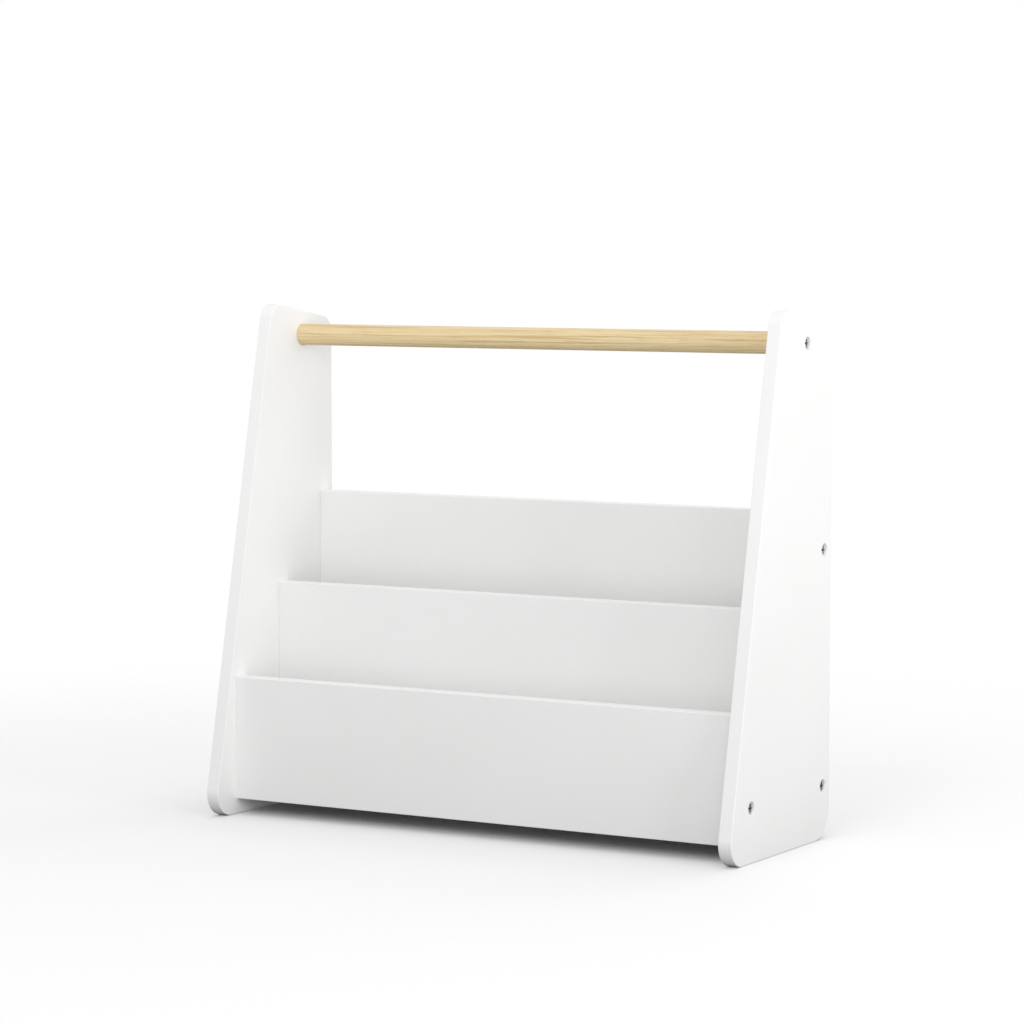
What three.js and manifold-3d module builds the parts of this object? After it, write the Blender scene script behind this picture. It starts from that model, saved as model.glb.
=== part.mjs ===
// A free-standing magazine rack for two rows of magazines or picture books.
// Two leaning side panels carry three upright boards, a bottom shelf and a round carrying rod.
// Millimetres, +Z up, +X to the rack's left-to-right width, -Y to the front that a reader faces.
// The origin is on the floor, at the centre of the rack's footprint.

import * as THREE from "three";
import { mergeVertices } from "three/addons/utils/BufferGeometryUtils.js";
import Module from "manifold-3d";

// ---- Driving dimensions ------------------------------------------------------------------

// Side panels, seen from the side. Depths are measured forward from the upright rear edge.
const PANEL_THICKNESS = 12;
const PANEL_DEPTH_BOTTOM = 188;
const PANEL_DEPTH_TOP = 94.5;
const PANEL_HEIGHT_FRONT = 450;
const PANEL_HEIGHT_REAR = 433.5;
const FRONT_FOOT_RADIUS = 20;
const REAR_FOOT_RADIUS = 27;
const CROWN_RADIUS = 15;
const EDGE_ROUND = 0.6;

// Boards between the panels.
const INNER_WIDTH = 490;
const BOARD_THICKNESS = 15;
const FLOOR_CLEARANCE = 13.5;
const FRONT_BOARD_HEIGHT = 108;
const MIDDLE_BOARD_TOP = 200;
const REAR_BOARD_TOP = 277.5;
const FRONT_SETBACK = 8;
const REAR_SETBACK = 5;

// Carrying rod.
const ROD_DIAMETER = 19;
const ROD_BELOW_TOP = 22;

// Cross-head furniture screws, eight alike.
const SCREW_LENGTH = 50;
const SCREW_HEAD_DIAMETER = 10.4;
const SCREW_HEAD_HEIGHT = 3.2;
const SCREW_HEAD_SUNK = 1.2;
const SCREW_SHANK_DIAMETER = 6.6;
const SCREW_SHANK_LENGTH = 14;
const SCREW_CORE_DIAMETER = 4.6;
const SCREW_THREAD_DIAMETER = 6.4;
const SCREW_THREADS = 6;
const SCREW_TIP_LENGTH = 5;
const CROSS_SPAN = 6;
const CROSS_WIDTH = 1.5;
const CROSS_DEPTH = 2.4;
const SCREW_FROM_EDGE = 32;

// Wooden alignment pins, ten alike.
const PIN_DIAMETER = 8;
const PIN_LENGTH = 30;
const PIN_IN_PANEL = 8;
const PIN_CHAMFER = 1;
const PIN_FROM_EDGE = 32;

// Clearances between pieces that meet.
const FACE_GAP = 0.1;
const HOLE_GAP = 0.3;
const HOLE_END_GAP = 1;

// Roundness of the faceted solids.
const CORNER_SEGMENTS = 8;
const HOLE_SEGMENTS = 16;
const ROD_SEGMENTS = 32;
const SCREW_SEGMENTS = 16;

// ---- Places worked out from the dimensions -----------------------------------------------

const BOARD_LENGTH = INNER_WIDTH - 2 * FACE_GAP;
const INNER_FACE_X = INNER_WIDTH / 2;
const OUTER_FACE_X = INNER_FACE_X + PANEL_THICKNESS;
const BOARD_END_X = BOARD_LENGTH / 2;

// In the side view the upright rear edge is at y = 0 and the front is at negative y.
const leanPerHeight = (PANEL_DEPTH_BOTTOM - PANEL_DEPTH_TOP) / PANEL_HEIGHT_FRONT;
const frontEdgeY = (z) => -PANEL_DEPTH_BOTTOM + leanPerHeight * z;

// The front board's top edge is set back from the leaning edge.
// The middle board is halfway between the front one and the rear one.
const frontBoardTop = FLOOR_CLEARANCE + FRONT_BOARD_HEIGHT;
const frontBoardY = frontEdgeY(frontBoardTop) + FRONT_SETBACK + BOARD_THICKNESS / 2;
const rearBoardY = -REAR_SETBACK - BOARD_THICKNESS / 2;
const middleBoardY = (frontBoardY + rearBoardY) / 2;
const shelfTop = FLOOR_CLEARANCE + BOARD_THICKNESS;
const shelfFrontY = frontBoardY + BOARD_THICKNESS / 2 + FACE_GAP;
const shelfRearY = rearBoardY - BOARD_THICKNESS / 2 - FACE_GAP;
const rodY = -PANEL_DEPTH_TOP / 2;
const rodZ = (PANEL_HEIGHT_FRONT + PANEL_HEIGHT_REAR) / 2 - ROD_BELOW_TOP;

// Screw places in the side view: one at the rod, two in the rear board, one in the front board.
const screwPlaces = {
  rod: [rodY, rodZ],
  rear_upper: [rearBoardY, REAR_BOARD_TOP - SCREW_FROM_EDGE],
  rear_lower: [rearBoardY, FLOOR_CLEARANCE + SCREW_FROM_EDGE],
  front: [frontBoardY, FLOOR_CLEARANCE + SCREW_FROM_EDGE],
};

// Pin places in the side view. The shelf's pins lie at a quarter of its depth from each edge.
const shelfDepth = shelfRearY - shelfFrontY;
const shelfMidZ = FLOOR_CLEARANCE + BOARD_THICKNESS / 2;
const pinPlaces = {
  front: [frontBoardY, frontBoardTop - PIN_FROM_EDGE],
  middle_upper: [middleBoardY, MIDDLE_BOARD_TOP - PIN_FROM_EDGE],
  middle_lower: [middleBoardY, shelfTop + FACE_GAP + PIN_FROM_EDGE],
  shelf_front: [shelfFrontY + shelfDepth / 4, shelfMidZ],
  shelf_rear: [shelfRearY - shelfDepth / 4, shelfMidZ],
};

// ---- Materials ---------------------------------------------------------------------------

const whiteLacquer = new THREE.MeshStandardMaterial({ color: 0xf4f4f3, roughness: 0.45, metalness: 0 });
const clearPine = new THREE.MeshStandardMaterial({ color: 0xe0c898, roughness: 0.55, metalness: 0 });
const beechPin = new THREE.MeshStandardMaterial({ color: 0xd2ad7d, roughness: 0.7, metalness: 0 });
const zincPlate = new THREE.MeshStandardMaterial({ color: 0xb9bcbe, roughness: 0.3, metalness: 1 });

// ---- Solids ------------------------------------------------------------------------------

const wasm = await Module();
wasm.setup();

// A closed three.js geometry as a solid that can be joined and cut.
function solidOf(geometry) {
  const bare = geometry.clone();
  bare.deleteAttribute("normal");
  bare.deleteAttribute("uv");
  const merged = mergeVertices(bare, 1e-4);
  return new wasm.Manifold(
    new wasm.Mesh({
      numProp: 3,
      vertProperties: new Float32Array(merged.attributes.position.array),
      triVerts: new Uint32Array(merged.index.array),
    }),
  );
}

// The solid back as a three.js geometry with flat faces.
function geometryOf(solid) {
  const { vertProperties, triVerts } = solid.getMesh();
  const geometry = new THREE.BufferGeometry();
  geometry.setAttribute("position", new THREE.BufferAttribute(vertProperties, 3));
  geometry.setIndex(new THREE.BufferAttribute(triVerts, 1));
  const flat = geometry.toNonIndexed();
  flat.computeVertexNormals();
  return flat;
}

// A cylinder or cone frustum along X between two places, for holes and countersinks.
function alongX(fromX, toX, y, z, fromRadius, toRadius = fromRadius) {
  const geometry = new THREE.CylinderGeometry(toRadius, fromRadius, toX - fromX, HOLE_SEGMENTS);
  geometry.rotateZ(-Math.PI / 2);
  geometry.translate((fromX + toX) / 2, y, z);
  return solidOf(geometry);
}

// A polygon's outline with each corner rounded by its own radius. Corners run anticlockwise.
function roundedShape(corners) {
  const shape = new THREE.Shape();
  corners.forEach(({ at, radius }, i) => {
    const before = corners.at(i - 1).at;
    const after = corners[(i + 1) % corners.length].at;
    const toBefore = before.clone().sub(at).normalize();
    const toAfter = after.clone().sub(at).normalize();
    const halfAngle = Math.acos(toBefore.dot(toAfter)) / 2;
    const bisector = toBefore.clone().add(toAfter).normalize();
    const centre = at.clone().addScaledVector(bisector, radius / Math.sin(halfAngle));
    const start = at.clone().addScaledVector(toBefore, radius / Math.tan(halfAngle));
    const end = at.clone().addScaledVector(toAfter, radius / Math.tan(halfAngle));
    if (i === 0) shape.moveTo(start.x, start.y);
    else shape.lineTo(start.x, start.y);
    const startAngle = Math.atan2(start.y - centre.y, start.x - centre.x);
    const endAngle = Math.atan2(end.y - centre.y, end.x - centre.x);
    shape.absarc(centre.x, centre.y, radius, startAngle, endAngle, false);
  });
  shape.closePath();
  return shape;
}

// ---- Side panels -------------------------------------------------------------------------

const panelShape = roundedShape([
  { at: new THREE.Vector2(-PANEL_DEPTH_BOTTOM, 0), radius: FRONT_FOOT_RADIUS },
  { at: new THREE.Vector2(0, 0), radius: REAR_FOOT_RADIUS },
  { at: new THREE.Vector2(0, PANEL_HEIGHT_REAR), radius: CROWN_RADIUS },
  { at: new THREE.Vector2(-PANEL_DEPTH_TOP, PANEL_HEIGHT_FRONT), radius: CROWN_RADIUS },
]);

// The countersunk through hole that a screw sits in, on the side at sign * X.
function screwHole(sign, y, z) {
  const holeRadius = SCREW_SHANK_DIAMETER / 2 + HOLE_GAP;
  const mouthRadius = SCREW_HEAD_DIAMETER / 2 + HOLE_GAP;
  const headTopX = OUTER_FACE_X - SCREW_HEAD_SUNK;
  const coneFootX = headTopX - SCREW_HEAD_HEIGHT;
  const hole = alongX(INNER_FACE_X - HOLE_END_GAP, OUTER_FACE_X, y, z, holeRadius);
  const cone = alongX(coneFootX, headTopX, y, z, holeRadius, mouthRadius);
  const mouth = alongX(headTopX, OUTER_FACE_X + HOLE_END_GAP, y, z, mouthRadius);
  const cutter = hole.add(cone).add(mouth);
  return sign > 0 ? cutter : cutter.mirror([1, 0, 0]);
}

// The blind hole for an alignment pin in a panel's inner face.
function panelPinHole(sign, y, z) {
  const depth = PIN_IN_PANEL + HOLE_END_GAP;
  const radius = PIN_DIAMETER / 2 + HOLE_GAP;
  const cutter = alongX(INNER_FACE_X - HOLE_END_GAP, INNER_FACE_X + depth, y, z, radius);
  return sign > 0 ? cutter : cutter.mirror([1, 0, 0]);
}

function sidePanel(sign) {
  const geometry = new THREE.ExtrudeGeometry(panelShape, {
    depth: PANEL_THICKNESS - 2 * EDGE_ROUND,
    curveSegments: CORNER_SEGMENTS,
    bevelEnabled: true,
    bevelThickness: EDGE_ROUND,
    bevelSize: EDGE_ROUND,
    bevelOffset: -EDGE_ROUND,
    bevelSegments: 2,
  });
  const sideView = new THREE.Matrix4().makeBasis(
    new THREE.Vector3(0, 1, 0),
    new THREE.Vector3(0, 0, 1),
    new THREE.Vector3(1, 0, 0),
  );
  geometry.applyMatrix4(sideView);
  const lowX = sign > 0 ? INNER_FACE_X : -OUTER_FACE_X;
  geometry.translate(lowX + EDGE_ROUND, 0, 0);
  let solid = solidOf(geometry);
  for (const [y, z] of Object.values(screwPlaces)) solid = solid.subtract(screwHole(sign, y, z));
  for (const [y, z] of Object.values(pinPlaces)) solid = solid.subtract(panelPinHole(sign, y, z));
  return geometryOf(solid);
}

// ---- Boards and shelf --------------------------------------------------------------------

// The blind hole that a screw's shank and thread, or a pin, enters in the end of a board or rod.
function endHole(sign, y, z, diameter, length) {
  const radius = diameter / 2 + HOLE_GAP;
  const cutter = alongX(INNER_FACE_X - length - HOLE_END_GAP, INNER_FACE_X + HOLE_END_GAP, y, z, radius);
  return sign > 0 ? cutter : cutter.mirror([1, 0, 0]);
}

const screwInBoard = SCREW_LENGTH - (PANEL_THICKNESS - SCREW_HEAD_SUNK);
const pinInBoard = PIN_LENGTH - PIN_IN_PANEL;

// Drills both ends of a board, or of the rod, for its screws and pins.
function drillEnds(solid, screws, pins) {
  for (const sign of [-1, 1]) {
    for (const name of screws) {
      solid = solid.subtract(endHole(sign, ...screwPlaces[name], SCREW_SHANK_DIAMETER, screwInBoard));
    }
    for (const name of pins) {
      solid = solid.subtract(endHole(sign, ...pinPlaces[name], PIN_DIAMETER, pinInBoard));
    }
  }
  return solid;
}

// A flat board between two y and two z places, drilled in both ends.
function board(lowY, highY, lowZ, highZ, screws, pins) {
  const geometry = new THREE.BoxGeometry(BOARD_LENGTH, highY - lowY, highZ - lowZ);
  geometry.translate(0, (lowY + highY) / 2, (lowZ + highZ) / 2);
  return geometryOf(drillEnds(solidOf(geometry), screws, pins));
}

function uprightBoard(centreY, lowZ, highZ, screws, pins) {
  const half = BOARD_THICKNESS / 2;
  return board(centreY - half, centreY + half, lowZ, highZ, screws, pins);
}

// ---- Carrying rod ------------------------------------------------------------------------

function carryingRod() {
  const radius = ROD_DIAMETER / 2;
  const geometry = new THREE.CylinderGeometry(radius, radius, BOARD_LENGTH, ROD_SEGMENTS);
  geometry.rotateZ(-Math.PI / 2);
  geometry.translate(0, rodY, rodZ);
  return geometryOf(drillEnds(solidOf(geometry), ["rod"], []));
}

// ---- Fasteners ---------------------------------------------------------------------------

// A screw standing on its tip along +Y, with the top of its head at y = 0.
function screwGeometry() {
  const head = SCREW_HEAD_DIAMETER / 2;
  const shank = SCREW_SHANK_DIAMETER / 2;
  const core = SCREW_CORE_DIAMETER / 2;
  const crest = SCREW_THREAD_DIAMETER / 2;
  const threadTop = -SCREW_SHANK_LENGTH;
  const threadEnd = -SCREW_LENGTH + SCREW_TIP_LENGTH;
  const pitch = (threadTop - threadEnd) / SCREW_THREADS;
  const profile = [new THREE.Vector2(0, -SCREW_LENGTH)];
  for (let turn = 0; turn < SCREW_THREADS; turn += 1) {
    const y = threadEnd + turn * pitch;
    profile.push(new THREE.Vector2(core, y));
    profile.push(new THREE.Vector2(crest, y + pitch / 2));
  }
  profile.push(new THREE.Vector2(core, threadTop));
  profile.push(new THREE.Vector2(shank, threadTop + (shank - core)));
  profile.push(new THREE.Vector2(shank, -SCREW_HEAD_HEIGHT));
  profile.push(new THREE.Vector2(head, 0));
  profile.push(new THREE.Vector2(0, 0));
  let solid = solidOf(new THREE.LatheGeometry(profile, SCREW_SEGMENTS));
  for (const turn of [0, Math.PI / 2]) {
    const slot = new THREE.BoxGeometry(CROSS_SPAN, 2 * CROSS_DEPTH, CROSS_WIDTH);
    slot.rotateY(turn);
    solid = solid.subtract(solidOf(slot));
  }
  return geometryOf(solid);
}

// A wooden pin along +Y from y = 0, chamfered at both ends.
function pinGeometry() {
  const radius = PIN_DIAMETER / 2;
  const profile = [
    new THREE.Vector2(0, 0),
    new THREE.Vector2(radius - PIN_CHAMFER, 0),
    new THREE.Vector2(radius, PIN_CHAMFER),
    new THREE.Vector2(radius, PIN_LENGTH - PIN_CHAMFER),
    new THREE.Vector2(radius - PIN_CHAMFER, PIN_LENGTH),
    new THREE.Vector2(0, PIN_LENGTH),
  ];
  return new THREE.LatheGeometry(profile, HOLE_SEGMENTS);
}

// ---- Assembly ----------------------------------------------------------------------------

const rack = new THREE.Group();

function addPiece(name, geometry, material) {
  const mesh = new THREE.Mesh(geometry, material);
  mesh.name = name;
  rack.add(mesh);
  return mesh;
}

addPiece("left_side_panel", sidePanel(-1), whiteLacquer);
addPiece("right_side_panel", sidePanel(1), whiteLacquer);
addPiece(
  "front_board",
  uprightBoard(frontBoardY, FLOOR_CLEARANCE, frontBoardTop, ["front"], ["front"]),
  whiteLacquer,
);
addPiece(
  "middle_board",
  uprightBoard(middleBoardY, shelfTop + FACE_GAP, MIDDLE_BOARD_TOP, [], ["middle_upper", "middle_lower"]),
  whiteLacquer,
);
addPiece(
  "rear_board",
  uprightBoard(rearBoardY, FLOOR_CLEARANCE, REAR_BOARD_TOP, ["rear_upper", "rear_lower"], []),
  whiteLacquer,
);
addPiece(
  "bottom_shelf",
  board(shelfFrontY, shelfRearY, FLOOR_CLEARANCE, shelfTop, [], ["shelf_front", "shelf_rear"]),
  whiteLacquer,
);
addPiece("carrying_rod", carryingRod(), clearPine);

for (const [side, sign] of [["left", -1], ["right", 1]]) {
  for (const [place, [y, z]] of Object.entries(screwPlaces)) {
    const screw = addPiece(`${side}_${place}_screw`, screwGeometry(), zincPlate);
    screw.rotation.z = -sign * Math.PI / 2;
    screw.position.set(sign * (OUTER_FACE_X - SCREW_HEAD_SUNK), y, z);
  }
  for (const [place, [y, z]] of Object.entries(pinPlaces)) {
    const pin = addPiece(`${side}_${place}_pin`, pinGeometry(), beechPin);
    pin.rotation.z = -sign * Math.PI / 2;
    pin.position.set(sign * (INNER_FACE_X - pinInBoard), y, z);
  }
}

// The pieces are placed from the rear edge, so the rack moves to put its footprint's centre at the origin.
const footprint = new THREE.Box3().setFromObject(rack);
rack.position.y = -(footprint.min.y + footprint.max.y) / 2;

const model = new THREE.Group();
model.add(rack);

export default model;
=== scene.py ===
import math

import bmesh
import bpy
from mathutils import Matrix, Vector


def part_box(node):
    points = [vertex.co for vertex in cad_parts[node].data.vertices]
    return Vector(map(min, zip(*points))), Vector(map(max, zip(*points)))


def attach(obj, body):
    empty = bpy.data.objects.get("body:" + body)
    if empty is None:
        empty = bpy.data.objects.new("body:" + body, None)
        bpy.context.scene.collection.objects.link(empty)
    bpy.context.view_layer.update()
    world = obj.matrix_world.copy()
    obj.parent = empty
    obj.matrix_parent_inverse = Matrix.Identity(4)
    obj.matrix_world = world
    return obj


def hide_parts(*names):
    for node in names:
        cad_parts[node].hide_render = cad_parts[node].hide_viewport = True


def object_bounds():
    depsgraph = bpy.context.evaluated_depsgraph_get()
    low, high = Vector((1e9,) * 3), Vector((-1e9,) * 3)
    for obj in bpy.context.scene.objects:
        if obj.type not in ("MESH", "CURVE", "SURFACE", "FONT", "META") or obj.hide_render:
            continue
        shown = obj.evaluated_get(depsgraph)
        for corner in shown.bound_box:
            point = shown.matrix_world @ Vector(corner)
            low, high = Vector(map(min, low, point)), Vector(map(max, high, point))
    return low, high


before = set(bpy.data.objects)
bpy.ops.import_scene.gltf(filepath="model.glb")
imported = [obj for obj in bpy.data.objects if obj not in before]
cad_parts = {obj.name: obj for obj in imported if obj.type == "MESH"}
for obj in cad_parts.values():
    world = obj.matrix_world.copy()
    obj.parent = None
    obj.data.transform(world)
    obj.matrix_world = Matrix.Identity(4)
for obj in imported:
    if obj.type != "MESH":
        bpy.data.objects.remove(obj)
cad_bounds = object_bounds()

MM = 0.001

# ---- Shapes shared with the CAD parts ------------------------------------------------------

PANEL_DEPTH_BOTTOM = 188 * MM
PANEL_DEPTH_TOP = 94.5 * MM
PANEL_HEIGHT_FRONT = 450 * MM
PANEL_HEIGHT_REAR = 433.5 * MM
FRONT_FOOT_RADIUS = 20 * MM
REAR_FOOT_RADIUS = 27 * MM
CROWN_RADIUS = 15 * MM
PANEL_EDGE_ROUND = 0.6 * MM
BOARD_EDGE_ROUND = 0.6 * MM
BOARD_END_ROUND = 0.05 * MM
ROD_END_ROUND = 0.4 * MM

HOLE_GAP = 0.3 * MM
HOLE_END_GAP = 1 * MM
MOUTH_ROUND = 0.25 * MM
SCREW_HEAD_HEIGHT = 3.2 * MM
SCREW_SHANK_RADIUS = 3.3 * MM
SCREW_SHANK_LENGTH = 14 * MM
SCREW_CORE_RADIUS = 2.3 * MM
SCREW_THREAD_RADIUS = 3.2 * MM
SCREW_TIP_LENGTH = 5 * MM
SCREW_POINT_RADIUS = SCREW_CORE_RADIUS / 8
THREAD_PITCH = 3 * MM
# How steeply a thread's flanks rise, so that its ridge fills part of each turn.
THREAD_STEEPNESS = 1.6

# The cross recess in a screw head narrows as it goes down.
CROSS_DEPTH = 2.8 * MM
CROSS_SPAN_TOP = 6.8 * MM
CROSS_SPAN_BOTTOM = 3.4 * MM
CROSS_WIDTH_TOP = 1.8 * MM
CROSS_WIDTH_BOTTOM = 1.2 * MM
HEAD_RIM = 0.25 * MM

PIN_CHAMFER = 1 * MM
PIN_FLUTES = 16
FLUTE_DEPTH = 0.25 * MM
STEPS_PER_FLUTE = 6

# How finely the round shapes are divided.
EDGE_STEPS = 4
CORNER_STEPS = 16
HOLE_STEPS = 48
ROD_STEPS = 96
HEAD_STEPS = 48
ROWS_PER_PITCH = 12

# Edges that turn more than this, in degrees, stay crisp.
SHARP_ANGLE = 50
SCREW_SHARP_ANGLE = 40
PIN_SHARP_ANGLE = 30

# Two faces this close together along X count as one.
SAME_FACE = 0.01 * MM

SIDES = (("left", -1), ("right", 1))
SCREW_PLACES = ("rod", "rear_upper", "rear_lower", "front")
PIN_PLACES = ("front", "middle_upper", "middle_lower", "shelf_front", "shelf_rear")

# Which screws and pins enter the ends of each piece between the panels.
END_FIXINGS = {
    "front_board": (("front",), ("front",)),
    "middle_board": ((), ("middle_upper", "middle_lower")),
    "rear_board": (("rear_upper", "rear_lower"), ()),
    "bottom_shelf": ((), ("shelf_front", "shelf_rear")),
    "carrying_rod": (("rod",), ()),
}


# ---- Nodes for the materials -----------------------------------------------------------------


class Shader:
    """A material's node tree with short calls for the nodes used here."""

    def __init__(self, name):
        self.material = bpy.data.materials.new(name)
        self.material.use_nodes = True
        self.tree = self.material.node_tree
        self.surface = self.tree.nodes["Principled BSDF"]

    def node(self, kind, inputs=None, **settings):
        node = self.tree.nodes.new(kind)
        for key, value in settings.items():
            setattr(node, key, value)
        for key, value in (inputs or {}).items():
            self.feed(node.inputs[key], value)
        return node

    def feed(self, socket, value):
        if isinstance(value, bpy.types.NodeSocket):
            self.tree.links.new(value, socket)
        else:
            socket.default_value = value

    def place(self, stretch=(1, 1, 1)):
        """The place on the object in metres, scaled along each axis."""
        coordinates = self.node("ShaderNodeTexCoord").outputs["Object"]
        mapping = self.node("ShaderNodeMapping", {"Vector": coordinates, "Scale": stretch})
        return mapping.outputs["Vector"]

    def noise(self, place, scale, detail=3, distortion=0):
        settings = {"Vector": place, "Scale": scale, "Detail": detail, "Distortion": distortion}
        return self.node("ShaderNodeTexNoise", settings).outputs["Fac"]

    def ramp(self, factor, stops):
        """A colour ramp through (position, colour) stops."""
        ramp = self.node("ShaderNodeValToRGB", {"Fac": factor})
        elements = ramp.color_ramp.elements
        while len(elements) < len(stops):
            elements.new(0.5)
        for element, (position, colour) in zip(elements, stops):
            element.position = position
            element.color = (*colour, 1)
        return ramp.outputs["Color"]

    def between(self, factor, low, high):
        """A number that goes from low to high as factor goes from 0.3 to 0.7, the span of a noise."""
        span = {"Value": factor, "From Min": 0.3, "From Max": 0.7, "To Min": low, "To Max": high}
        return self.node("ShaderNodeMapRange", span).outputs["Result"]

    def mix(self, factor, low, high, blend="MIX"):
        mix = self.node("ShaderNodeMix", data_type="RGBA", blend_type=blend)
        self.feed(mix.inputs["Factor"], factor)
        for name, value in (("A", low), ("B", high)):
            socket = next(s for s in mix.inputs if s.name == name and s.type == "RGBA")
            self.feed(socket, value if isinstance(value, bpy.types.NodeSocket) else (*value, 1))
        return next(s for s in mix.outputs if s.type == "RGBA")

    def edges(self, radius, low, high):
        """A mask that rises from low to high where the surface turns within this radius."""
        bevel = self.node("ShaderNodeBevel", {"Radius": radius}, samples=4)
        flat = self.node("ShaderNodeNewGeometry").outputs["Normal"]
        dot = self.node("ShaderNodeVectorMath", operation="DOT_PRODUCT")
        self.feed(dot.inputs[0], bevel.outputs["Normal"])
        self.feed(dot.inputs[1], flat)
        turn = {"Value": dot.outputs["Value"], "From Min": 1, "From Max": 0.8}
        return self.node("ShaderNodeMapRange", {**turn, "To Min": low, "To Max": high}).outputs["Result"]

    def openness(self, distance):
        """A mask that falls from 1 to 0 in recesses of about this size in the piece itself."""
        settings = {"samples": 8, "only_local": True}
        return self.node("ShaderNodeAmbientOcclusion", {"Distance": distance}, **settings).outputs["AO"]

    def bump(self, height, depth, normal=None):
        inputs = {"Height": height, "Distance": depth, "Strength": 1}
        if normal is not None:
            inputs["Normal"] = normal
        return self.node("ShaderNodeBump", inputs).outputs["Normal"]

    def finish(self, **inputs):
        for name, value in inputs.items():
            self.feed(self.surface.inputs[name.replace("_", " ")], value)
        return self.material


def white_lacquer():
    """Sprayed satin lacquer on board: a fine orange peel, faint clouding, edges a little rubbed."""
    shader = Shader("white_lacquer")
    place = shader.place()
    clouds = shader.noise(place, 9, detail=4)
    colour = shader.ramp(clouds, [(0.3, (0.892, 0.890, 0.885)), (0.7, (0.910, 0.909, 0.906))])
    wear = shader.edges(0.8 * MM, 0, 0.5)
    colour = shader.mix(wear, colour, (0.87, 0.868, 0.86))
    peel = shader.noise(place, 520, detail=2)
    dust = shader.noise(place, 2600, detail=1)
    roughness = shader.between(shader.noise(place, 60), 0.42, 0.52)
    normal = shader.bump(dust, 0.004 * MM, shader.bump(peel, 0.02 * MM))
    return shader.finish(Base_Color=colour, Roughness=roughness, Normal=normal)


def clear_pine():
    """Pale turned wood under matt lacquer, with fine streaks and short pores along the rod."""
    shader = Shader("clear_pine")
    streaks = shader.noise(shader.place((0.012, 1, 1)), 700, detail=3)
    bands = shader.noise(shader.place((0.012, 1, 1)), 130, detail=2)
    pores = shader.noise(shader.place((0.02, 1, 1)), 2200, detail=2)
    pale = [(0.33, (0.62, 0.445, 0.215)), (0.46, (0.785, 0.615, 0.340)), (0.66, (0.845, 0.695, 0.425))]
    colour = shader.ramp(streaks, pale)
    warm = shader.ramp(bands, [(0.38, (0.93, 0.89, 0.82)), (0.6, (1, 1, 1))])
    colour = shader.mix(0.7, colour, warm, blend="MULTIPLY")
    dark = shader.ramp(pores, [(0.32, (0.72, 0.64, 0.54)), (0.42, (1, 1, 1))])
    colour = shader.mix(0.7, colour, dark, blend="MULTIPLY")
    roughness = shader.between(streaks, 0.45, 0.34)
    normal = shader.bump(pores, 0.02 * MM, shader.bump(streaks, 0.03 * MM))
    return shader.finish(Base_Color=colour, Roughness=roughness, Normal=normal)


def beech_pin():
    """Bare beech: pinkish tan with short dark flecks along the pin."""
    shader = Shader("beech_pin")
    grain = shader.noise(shader.place((0.1, 1, 1)), 700, detail=4, distortion=0.3)
    flecks = shader.noise(shader.place((0.25, 1, 1)), 1800, detail=1)
    colour = shader.ramp(grain, [(0.35, (0.56, 0.38, 0.22)), (0.65, (0.70, 0.51, 0.32))])
    fleck = shader.ramp(flecks, [(0.34, (0.62, 0.52, 0.44)), (0.42, (1, 1, 1))])
    colour = shader.mix(1, colour, fleck, blend="MULTIPLY")
    roughness = shader.between(grain, 0.8, 0.66)
    normal = shader.bump(grain, 0.04 * MM)
    return shader.finish(Base_Color=colour, Roughness=roughness, Normal=normal)


def zinc_plate():
    """Bright zinc plate: turning marks, clouded reflections, rubbed edges and painted shade darkening
    the recess.
    """
    shader = Shader("zinc_plate")
    place = shader.place()
    clouds = shader.noise(place, 700, detail=3)
    colour = shader.ramp(clouds, [(0.3, (0.68, 0.69, 0.70)), (0.7, (0.82, 0.83, 0.84))])
    wear = shader.edges(0.3 * MM, 0, 0.6)
    colour = shader.mix(wear, colour, (0.52, 0.52, 0.52))
    # Painted shade: the colour goes nearly black where the head's own cross recess encloses the surface.
    painted_recess_shade = shader.ramp(shader.openness(2 * MM), [(0.5, (0.02, 0.02, 0.02)), (0.9, (1, 1, 1))])
    colour = shader.mix(1, colour, painted_recess_shade, blend="MULTIPLY")
    marks = shader.noise(shader.place((6, 1, 1)), 1500, detail=2)
    roughness = shader.between(clouds, 0.24, 0.38)
    normal = shader.bump(marks, 0.01 * MM)
    return shader.finish(Base_Color=colour, Metallic=1, Roughness=roughness, Normal=normal)


MATERIALS = {
    "white_lacquer": white_lacquer(),
    "clear_pine": clear_pine(),
    "beech_pin": beech_pin(),
    "zinc_plate": zinc_plate(),
}


# ---- Pieces ------------------------------------------------------------------------------


def add_piece(name, mesh, slot_name):
    """Puts a mesh in the scene with its slot's material."""
    piece = bpy.data.objects.new(name, mesh)
    bpy.context.scene.collection.objects.link(piece)
    if not mesh.materials:
        mesh.materials.append(MATERIALS[slot_name])
    return piece


def settle(piece, node):
    """Hangs the piece under the root body and hides the node it replaces, once the piece is in place."""
    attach(piece, "root")
    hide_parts(node)


def weigh_normals(piece):
    """Keeps large flat faces flat beside their rounded edges."""
    modifier = piece.modifiers.new("weighted_normals", "WEIGHTED_NORMAL")
    modifier.mode = "FACE_AREA"
    modifier.weight = 100
    modifier.keep_sharp = True


def mesh_from(name, bm, sharp_angle=SHARP_ANGLE, crisp_edges=()):
    """A smooth-shaded mesh, with the given edges and those sharper than the angle left crisp."""
    bmesh.ops.recalc_face_normals(bm, faces=bm.faces)
    for face in bm.faces:
        face.smooth = True
    for edge in bm.edges:
        edge.smooth = edge.calc_face_angle(0) < math.radians(sharp_angle)
    for edge in crisp_edges:
        edge.smooth = False
    mesh = bpy.data.meshes.new(name)
    bm.to_mesh(mesh)
    bm.free()
    return mesh


def bridge(bm, loops):
    """Joins each ring of vertices to the next with quads."""
    for near, far in zip(loops, loops[1:]):
        count = len(near)
        for i in range(count):
            j = (i + 1) % count
            bm.faces.new((near[i], near[j], far[j], far[i]))


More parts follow.
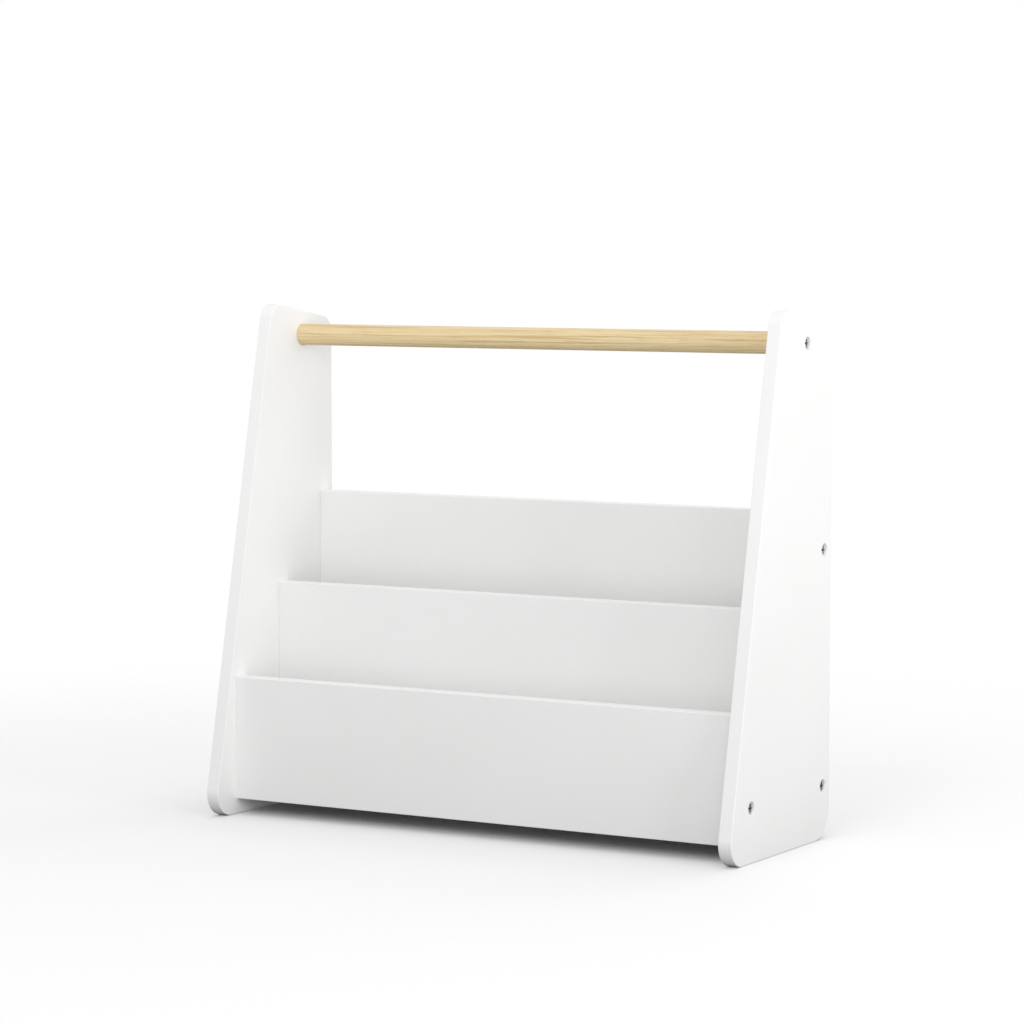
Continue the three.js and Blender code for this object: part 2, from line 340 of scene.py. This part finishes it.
def circle_outline(y, z, radius, steps):
    """A round outline as (centre, radius, angle) for each of its points."""
    return [(Vector((y, z)), radius, 2 * math.pi * i / steps) for i in range(steps)]


def rounded_outline(corners):
    """The outline of a polygon with each (corner, radius) rounded, anticlockwise."""
    outline = []
    for i, (corner, radius) in enumerate(corners):
        to_before = (corners[i - 1][0] - corner).normalized()
        to_after = (corners[(i + 1) % len(corners)][0] - corner).normalized()
        half = to_before.angle(to_after) / 2
        centre = corner + (to_before + to_after).normalized() * radius / math.sin(half)
        start = corner + to_before * radius / math.tan(half) - centre
        start_angle = math.atan2(start.y, start.x)
        sweep = math.pi - 2 * half
        for step in range(CORNER_STEPS + 1):
            outline.append((centre, radius, start_angle + sweep * step / CORNER_STEPS))
    return outline


def outline_ring(bm, outline, x, inset):
    """A ring of vertices on the outline at x, moved inwards by inset."""
    ring = []
    for centre, radius, angle in outline:
        reach = radius - inset
        y = centre.x + reach * math.cos(angle)
        z = centre.y + reach * math.sin(angle)
        ring.append(bm.verts.new((x, y, z)))
    return ring


def drill(bm, hole, caps):
    """Adds the wall of a hole, (y, z, [(x, radius), ...]), and its rims to the caps they lie on."""
    y, z, profile = hole
    loops = [outline_ring(bm, circle_outline(y, z, radius, HOLE_STEPS), x, 0) for x, radius in profile]
    bridge(bm, loops)
    for (x, _), loop in ((profile[0], loops[0]), (profile[-1], loops[-1])):
        cap = next((rims for cap_x, rims in caps.items() if abs(cap_x - x) < SAME_FACE), None)
        if cap is None:
            bm.faces.new(loop)
        else:
            cap.append(loop)


def extruded_mesh(name, outline, low_x, high_x, edge_round, holes):
    """A closed body of one outline along X, with rounded end edges and drilled ends."""
    bm = bmesh.new()
    rings = []
    for step in range(EDGE_STEPS + 1):
        angle = math.pi / 2 * step / EDGE_STEPS
        rings.append((low_x + edge_round * (1 - math.cos(angle)), edge_round * (1 - math.sin(angle))))
    rings += [(low_x + high_x - x, inset) for x, inset in reversed(rings)]
    loops = [outline_ring(bm, outline, x, inset) for x, inset in rings]
    bridge(bm, loops)
    caps = {low_x: [loops[0]], high_x: [loops[-1]]}
    for hole in holes:
        drill(bm, hole, caps)
    cap_edges = []
    for rims in caps.values():
        edges = [bm.edges.get((loop[i - 1], loop[i])) for loop in rims for i in range(len(loop))]
        bmesh.ops.triangle_fill(bm, use_beauty=True, use_dissolve=False, edges=edges)
        cap_edges += edges
    return mesh_from(name, bm, crisp_edges=cap_edges)


def add_body(node, mesh, slot_name):
    """Puts a panel, a board or the rod in place of its node."""
    piece = add_piece(f"{node}_look", mesh, slot_name)
    weigh_normals(piece)
    settle(piece, node)


def centre_of(node):
    low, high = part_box(node)
    return (low + high) / 2


# ---- Side panels ------------------------------------------------------------------------------


def panel_outline():
    """The panel's side view, from its upright rear edge and the floor."""
    low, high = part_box("right_side_panel")
    rear = high.y
    floor = low.z
    corners = [
        ((rear - PANEL_DEPTH_BOTTOM, floor), FRONT_FOOT_RADIUS),
        ((rear, floor), REAR_FOOT_RADIUS),
        ((rear, floor + PANEL_HEIGHT_REAR), CROWN_RADIUS),
        ((rear - PANEL_DEPTH_TOP, floor + PANEL_HEIGHT_FRONT), CROWN_RADIUS),
    ]
    return rounded_outline([(Vector(corner), radius) for corner, radius in corners])


def panel_screw_hole(side, place, outer_x, inner_x):
    """A recessed and countersunk hole from the outer face through to the inner one."""
    screw_low, screw_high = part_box(f"{side}_{place}_screw")
    centre = (screw_low + screw_high) / 2
    inward = math.copysign(1, inner_x - outer_x)
    head_x = screw_high.x if outer_x > 0 else screw_low.x
    mouth = (screw_high.z - screw_low.z) / 2 + HOLE_GAP
    shank = SCREW_SHANK_RADIUS + HOLE_GAP
    profile = []
    for step in range(EDGE_STEPS + 1):
        angle = math.pi / 2 * step / EDGE_STEPS
        depth = MOUTH_ROUND * (1 - math.cos(angle))
        profile.append((outer_x + inward * depth, mouth + MOUTH_ROUND * (1 - math.sin(angle))))
    profile.append((head_x, mouth))
    profile.append((head_x + inward * SCREW_HEAD_HEIGHT, shank))
    profile.append((inner_x, shank))
    return centre.y, centre.z, profile


def blind_hole(node, face_x, radius, inward):
    """A blind hole from a face, a little longer than the fixing's reach beyond that face."""
    low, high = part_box(node)
    centre = (low + high) / 2
    reach = (high.x - face_x) if inward > 0 else (face_x - low.x)
    end_x = face_x + inward * (reach + HOLE_END_GAP)
    return centre.y, centre.z, [(face_x, radius), (end_x, radius)]


def pin_radius(node):
    low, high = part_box(node)
    return (high.z - low.z) / 2


def build_panel(side, sign):
    node = f"{side}_side_panel"
    low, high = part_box(node)
    outer_x, inner_x = (high.x, low.x) if sign > 0 else (low.x, high.x)
    holes = [panel_screw_hole(side, place, outer_x, inner_x) for place in SCREW_PLACES]
    for place in PIN_PLACES:
        pin = f"{side}_{place}_pin"
        holes.append(blind_hole(pin, inner_x, pin_radius(pin) + HOLE_GAP, sign))
    mesh = extruded_mesh(f"{node}_look", panel_outline(), low.x, high.x, PANEL_EDGE_ROUND, holes)
    add_body(node, mesh, "white_lacquer")


# ---- Boards and rod between the panels -----------------------------------------------------------


def end_holes(node, low_x, high_x):
    """The blind holes in both ends of a board or of the rod."""
    screws, pins = END_FIXINGS[node]
    holes = []
    for side, sign in SIDES:
        face_x = high_x if sign > 0 else low_x
        for place in screws:
            radius = SCREW_SHANK_RADIUS + HOLE_GAP
            holes.append(blind_hole(f"{side}_{place}_screw", face_x, radius, -sign))
        for place in pins:
            pin = f"{side}_{place}_pin"
            holes.append(blind_hole(pin, face_x, pin_radius(pin) + HOLE_GAP, -sign))
    return holes


def build_board(node):
    low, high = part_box(node)
    corners = [(low.y, low.z), (high.y, low.z), (high.y, high.z), (low.y, high.z)]
    outline = rounded_outline([(Vector(corner), BOARD_EDGE_ROUND) for corner in corners])
    holes = end_holes(node, low.x, high.x)
    mesh = extruded_mesh(f"{node}_look", outline, low.x, high.x, BOARD_END_ROUND, holes)
    add_body(node, mesh, "white_lacquer")


def build_rod(node):
    low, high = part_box(node)
    centre = (low + high) / 2
    outline = circle_outline(centre.y, centre.z, (high.z - low.z) / 2, ROD_STEPS)
    holes = end_holes(node, low.x, high.x)
    mesh = extruded_mesh(f"{node}_look", outline, low.x, high.x, ROD_END_ROUND, holes)
    add_body(node, mesh, "clear_pine")


# ---- Screws and pins -------------------------------------------------------------------------------


def screw_body(head_radius, length):
    """A screw along -X from the top of its head at x = 0, with a helical thread and a point."""
    bm = bmesh.new()
    rings = []
    for step in range(EDGE_STEPS + 1):
        angle = math.pi / 2 * step / EDGE_STEPS
        rings.append((-HEAD_RIM * (1 - math.sin(angle)), head_radius - HEAD_RIM * (1 - math.cos(angle))))
    rings.reverse()
    rings.append((-SCREW_HEAD_HEIGHT, SCREW_SHANK_RADIUS))
    rings.append((-SCREW_SHANK_LENGTH, SCREW_SHANK_RADIUS))
    loops = []
    for x, radius in rings:
        loops.append(outline_ring(bm, circle_outline(0, 0, radius, HEAD_STEPS), x, 0))
    thread_start = -SCREW_SHANK_LENGTH
    thread_end = SCREW_TIP_LENGTH - length
    rows = round((thread_start - thread_end) / THREAD_PITCH * ROWS_PER_PITCH)
    for row in range(1, rows + 1):
        x = thread_start + (thread_end - thread_start) * row / rows
        ring = []
        for i in range(HEAD_STEPS):
            angle = 2 * math.pi * i / HEAD_STEPS
            turn = (x / THREAD_PITCH + angle / (2 * math.pi)) % 1
            height = max(0, 1 - abs(2 * turn - 1) * THREAD_STEEPNESS)
            radius = SCREW_CORE_RADIUS + (SCREW_THREAD_RADIUS - SCREW_CORE_RADIUS) * height
            ring.append(bm.verts.new((x, radius * math.cos(angle), radius * math.sin(angle))))
        loops.append(ring)
    loops.append(outline_ring(bm, circle_outline(0, 0, SCREW_POINT_RADIUS, HEAD_STEPS), -length, 0))
    bridge(bm, loops)
    bm.faces.new(loops[0])
    bm.faces.new(loops[-1])
    return mesh_from("screw_body", bm, SCREW_SHARP_ANGLE)


def cross_cutter():
    """Two tapering bars that cross, to cut the recess in a screw head."""
    meshes = []
    above = CROSS_DEPTH / 2
    for turn in (0, math.pi / 2):
        bm = bmesh.new()
        loops = []
        for x, span, width in (
            (-CROSS_DEPTH, CROSS_SPAN_BOTTOM, CROSS_WIDTH_BOTTOM),
            (0, CROSS_SPAN_TOP, CROSS_WIDTH_TOP),
            (above, CROSS_SPAN_TOP, CROSS_WIDTH_TOP),
        ):
            corners = ((-1, -1), (1, -1), (1, 1), (-1, 1))
            loops.append([bm.verts.new((x, a * span / 2, b * width / 2)) for a, b in corners])
        bridge(bm, loops)
        bm.faces.new(loops[0])
        bm.faces.new(loops[-1])
        bmesh.ops.rotate(bm, verts=bm.verts, cent=(0, 0, 0), matrix=Matrix.Rotation(turn, 3, "X"))
        meshes.append(mesh_from("cross_bar", bm))
    return meshes


def cut(mesh, cutters, name):
    """The mesh with each cutter's volume taken away."""
    scene = bpy.context.scene
    target = bpy.data.objects.new("cut_target", mesh)
    tools = [bpy.data.objects.new("cut_tool", cutter) for cutter in cutters]
    for item in (target, *tools):
        scene.collection.objects.link(item)
    for tool in tools:
        modifier = target.modifiers.new("cut", "BOOLEAN")
        modifier.operation = "DIFFERENCE"
        modifier.solver = "EXACT"
        modifier.object = tool
    graph = bpy.context.evaluated_depsgraph_get()
    result = bpy.data.meshes.new_from_object(target.evaluated_get(graph), depsgraph=graph)
    result.name = name
    for item in (target, *tools):
        bpy.data.objects.remove(item)
    result.materials.clear()
    result.shade_smooth()
    result.set_sharp_from_angle(angle=math.radians(SCREW_SHARP_ANGLE))
    return result


def build_screws():
    low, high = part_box("right_rod_screw")
    body = screw_body((high.z - low.z) / 2, high.x - low.x)
    mesh = cut(body, cross_cutter(), "cross_head_screw")
    for side, sign in SIDES:
        for place in SCREW_PLACES:
            node = f"{side}_{place}_screw"
            low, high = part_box(node)
            centre = (low + high) / 2
            piece = add_piece(f"{node}_look", mesh, "zinc_plate")
            piece.location = (high.x if sign > 0 else low.x, centre.y, centre.z)
            piece.rotation_euler = (0, 0, 0 if sign > 0 else math.pi)
            settle(piece, node)


def pin_mesh(radius, length):
    """A fluted and chamfered wooden pin along X, centred."""
    bm = bmesh.new()
    steps = PIN_FLUTES * STEPS_PER_FLUTE
    half = length / 2
    rings = [
        (-half, radius - PIN_CHAMFER),
        (PIN_CHAMFER - half, radius),
        (half - PIN_CHAMFER, radius),
        (half, radius - PIN_CHAMFER),
    ]
    loops = []
    for x, ring_radius in rings:
        ring = []
        for i in range(steps):
            angle = 2 * math.pi * i / steps
            reach = ring_radius - FLUTE_DEPTH * (1 - abs(math.sin(PIN_FLUTES * angle / 2)))
            ring.append(bm.verts.new((x, reach * math.cos(angle), reach * math.sin(angle))))
        loops.append(ring)
    bridge(bm, loops)
    bm.faces.new(loops[0])
    bm.faces.new(loops[-1])
    return mesh_from("fluted_pin", bm, PIN_SHARP_ANGLE)


def build_pins():
    low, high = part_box("right_front_pin")
    mesh = pin_mesh((high.z - low.z) / 2, high.x - low.x)
    for side, _ in SIDES:
        for place in PIN_PLACES:
            node = f"{side}_{place}_pin"
            piece = add_piece(f"{node}_look", mesh, "beech_pin")
            piece.location = centre_of(node)
            settle(piece, node)


for side_name, side_sign in SIDES:
    build_panel(side_name, side_sign)
for board_node in ("front_board", "middle_board", "rear_board", "bottom_shelf"):
    build_board(board_node)
build_rod("carrying_rod")
build_screws()
build_pins()


# ---- Floor, light and camera -----------------------------------------------------------------------

# The backdrop shows as pure white and lights the rack with this share of that.
AMBIENT_STRENGTH = 0.86

# The floor is solid up to one radius and has faded away at the other.
FLOOR_RADIUS = 1.3
FLOOR_SOLID_RADIUS = 0.5
FLOOR_STEPS = 96
FLOOR_GAP = 0.1 * MM

# How pale the floor shows, and how much of the light it throws back onto the rack.
FLOOR_SEEN = 0.93
FLOOR_BOUNCE = 0.3
FLOOR_ROUGHNESS = 0.9

LIGHT_TARGET = (0, 0, 0.2)

CAMERA_LENS = 123.1
CAMERA_SENSOR = 36
CAMERA_REACH = 50
CAMERA_PLACE = (1.5110, -2.5802, 0.5116)
CAMERA_YAW = math.radians(30.365)
CAMERA_PITCH = math.radians(4.573)


def floor_material():
    """A pale matt floor that throws back less light than it shows and fades into the white backdrop."""
    shader = Shader("floor")
    seen = shader.node("ShaderNodeLightPath").outputs["Is Camera Ray"]
    tones = {"Value": seen, "To Min": FLOOR_BOUNCE, "To Max": FLOOR_SEEN}
    colour = shader.node("ShaderNodeMapRange", tones).outputs["Result"]
    distance = shader.node("ShaderNodeVectorMath", operation="LENGTH")
    shader.feed(distance.inputs[0], shader.place())
    span = {"From Min": FLOOR_SOLID_RADIUS, "From Max": FLOOR_RADIUS, "To Min": 1, "To Max": 0}
    fade = shader.node("ShaderNodeMapRange", span, interpolation_type="SMOOTHSTEP")
    shader.feed(fade.inputs["Value"], distance.outputs["Value"])
    return shader.finish(Base_Color=colour, Roughness=FLOOR_ROUGHNESS, Alpha=fade.outputs["Result"])


def build_floor():
    bm = bmesh.new()
    bmesh.ops.create_circle(bm, cap_ends=True, radius=FLOOR_RADIUS, segments=FLOOR_STEPS)
    mesh = mesh_from("studio_floor", bm)
    mesh.materials.append(floor_material())
    floor = bpy.data.objects.new("studio_floor", mesh)
    floor.location.z = cad_bounds[0][2] - FLOOR_GAP
    bpy.context.scene.collection.objects.link(floor)


def build_world():
    """A white backdrop that lights the rack less than it shows, so that the softboxes give the shape."""
    world = bpy.data.worlds.new("studio_white")
    world.use_nodes = True
    nodes = world.node_tree.nodes
    links = world.node_tree.links
    background = nodes["Background"]
    background.inputs["Color"].default_value = (1, 1, 1, 1)
    seen = nodes.new("ShaderNodeLightPath").outputs["Is Camera Ray"]
    strength = nodes.new("ShaderNodeMapRange")
    strength.inputs["To Min"].default_value = AMBIENT_STRENGTH
    strength.inputs["To Max"].default_value = 1
    links.new(seen, strength.inputs["Value"])
    links.new(strength.outputs["Result"], background.inputs["Strength"])
    bpy.context.scene.world = world


def add_softbox(name, place, size, power):
    """A square area light at a place, turned towards the rack's middle."""
    light = bpy.data.lights.new(name, "AREA")
    light.size = size
    light.energy = power
    lamp = bpy.data.objects.new(name, light)
    lamp.location = place
    aim = Vector(LIGHT_TARGET) - lamp.location
    lamp.rotation_euler = aim.to_track_quat("-Z", "Y").to_euler()
    bpy.context.scene.collection.objects.link(lamp)


def build_camera():
    data = bpy.data.cameras.new("camera")
    data.lens = CAMERA_LENS
    data.sensor_width = CAMERA_SENSOR
    data.clip_end = CAMERA_REACH
    data.dof.use_dof = False
    camera = bpy.data.objects.new("camera", data)
    camera.location = CAMERA_PLACE
    camera.rotation_euler = (math.pi / 2 - CAMERA_PITCH, 0, CAMERA_YAW)
    bpy.context.scene.collection.objects.link(camera)
    bpy.context.scene.camera = camera


build_floor()
build_world()
add_softbox("right_low", (2.8, -0.7, 0.35), 1, 20)
add_softbox("right_level", (3.2, 0.3, 0.5), 1.6, 4.4)
add_softbox("right_front", (2.4, -2.4, 1.2), 1.2, 6.5)
add_softbox("front_far", (0.4, -3.5, 2.2), 1.5, 23.5)
add_softbox("back_top", (0.3, 1.6, 1.8), 1.2, 6)
build_camera()
bpy.context.scene.view_settings.view_transform = "Standard"
bpy.context.scene.view_settings.look = "None"
